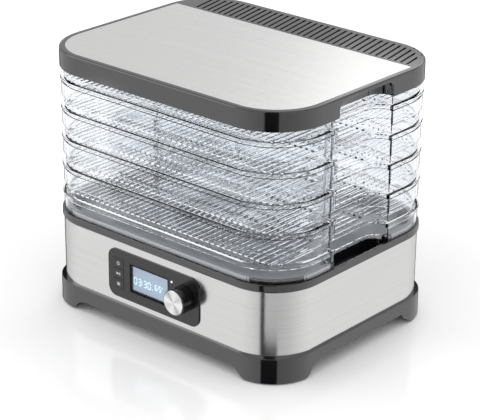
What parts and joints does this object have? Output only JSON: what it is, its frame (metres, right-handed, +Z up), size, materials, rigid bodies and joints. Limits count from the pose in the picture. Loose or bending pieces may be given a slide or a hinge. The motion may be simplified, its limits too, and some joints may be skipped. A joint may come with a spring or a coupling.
{
  "type": "food dehydrator",
  "caption": "Countertop food dehydrator: steel-wrapped base with a control panel, a stack of clear lift-off trays with side hand recesses, and a vented black lid with an inlaid steel plate.",
  "frame": {"origin": "on the floor, under the middle of the whole object's box, knob included", "axes": "+Z up, +X to the right seen from the front, the control panel faces -Y"},
  "size_m": [0.34, 0.2824, 0.2918],
  "materials": {
    "black_plastic": "satin black moulded plastic",
    "inner_black": "matt black moulded plastic",
    "brushed_steel": "long brushed grain",
    "clear_tray": "clear moulded plastic",
    "panel_black": "glossy black fascia",
    "clear_window": "flat clear lens",
    "display": "lit blue-grey display",
    "button_black": "satin black key",
    "knob_black": "satin black",
    "spun_cap": "spun circular grain",
    "rubber": "matt",
    "zinc": "zinc plated",
    "sheet_steel": "plain galvanised sheet",
    "mica": "pale grey-brown mica",
    "coil": "oxidised resistance wire",
    "board_green": "solder mask",
    "component": "moulded component",
    "component_light": "pale component",
    "fan_plastic": "matt moulded",
    "brass": "plated",
    "light": "milky light pipe"
  },
  "bodies": {
    "base": {"base_tub": "black_plastic", "bottom_cover": "inner_black", "case_screws": "zinc", "rubber_feet": "rubber", "steel_wrap": "brushed_steel", "top_deck": "black_plastic", "air_guard": "inner_black", "air_duct": "sheet_steel", "heater_frame": "mica", "heating_coil": "coil", "motor_bracket": "sheet_steel", "fan_motor": "sheet_steel", "thermostat": "component_light", "thermal_fuse": "zinc", "air_sensor": "component", "control_panel": "panel_black", "display_window": "clear_window", "lcd_module": "display", "tact_switches": "component", "control_board": "board_green", "control_board_screws": "zinc", "status_light": "light", "encoder": "zinc", "mains_inlet": "inner_black", "inlet_pins": "brass", "inlet_screws": "zinc", "power_board": "board_green", "power_board_screws": "zinc", "transformer": "component_light", "relay": "component", "filter_capacitor": "component"},
    "fan": {"fan_spindle": "zinc", "fan_blade": "fan_plastic", "fan_nut": "zinc"},
    "knob": {"knob": "knob_black", "knob_cap": "spun_cap", "encoder_shaft": "zinc"},
    "button_power": {"button_power": "button_black"},
    "button_start": {"button_start": "button_black"},
    "button_set": {"button_set": "button_black"},
    "lid": {"lid_frame": "black_plastic", "lid_plate": "brushed_steel"},
    "tray_1": {"tray_1": "clear_tray"},
    "tray_2": {"tray_2": "clear_tray"},
    "tray_3": {"tray_3": "clear_tray"},
    "tray_4": {"tray_4": "clear_tray"},
    "tray_5": {"tray_5": "clear_tray"}
  },
  "joints": [
    {"name": "tray_1_lift", "type": "slide", "parent": "base", "child": "tray_1", "axis": [0, 0, 1], "range_m": [0, 0.045]},
    {"name": "tray_2_lift", "type": "slide", "parent": "tray_1", "child": "tray_2", "axis": [0, 0, 1], "range_m": [0, 0.045]},
    {"name": "tray_3_lift", "type": "slide", "parent": "tray_2", "child": "tray_3", "axis": [0, 0, 1], "range_m": [0, 0.045]},
    {"name": "tray_4_lift", "type": "slide", "parent": "tray_3", "child": "tray_4", "axis": [0, 0, 1], "range_m": [0, 0.045]},
    {"name": "tray_5_lift", "type": "slide", "parent": "tray_4", "child": "tray_5", "axis": [0, 0, 1], "range_m": [0, 0.045]},
    {"name": "lid_lift", "type": "slide", "parent": "tray_5", "child": "lid", "axis": [0, 0, 1], "range_m": [0, 0.045]},
    {"name": "knob_turn", "type": "hinge", "parent": "base", "child": "knob", "pos_m": [0.0418, -0.12402, 0.066], "axis": [0, 1, 0], "continuous": true},
    {"name": "press_power", "type": "slide", "parent": "base", "child": "button_power", "axis": [0, 1, 0], "range_m": [0, 0.0005], "stiffness_N_per_m": 600},
    {"name": "press_start", "type": "slide", "parent": "base", "child": "button_start", "axis": [0, 1, 0], "range_m": [0, 0.0005], "stiffness_N_per_m": 600},
    {"name": "press_set", "type": "slide", "parent": "base", "child": "button_set", "axis": [0, 1, 0], "range_m": [0, 0.0005], "stiffness_N_per_m": 600},
    {"name": "fan_spin", "type": "hinge", "parent": "base", "child": "fan", "pos_m": [0, 0.00797, 0.06], "axis": [0, 0, 1], "continuous": true}
  ]
}
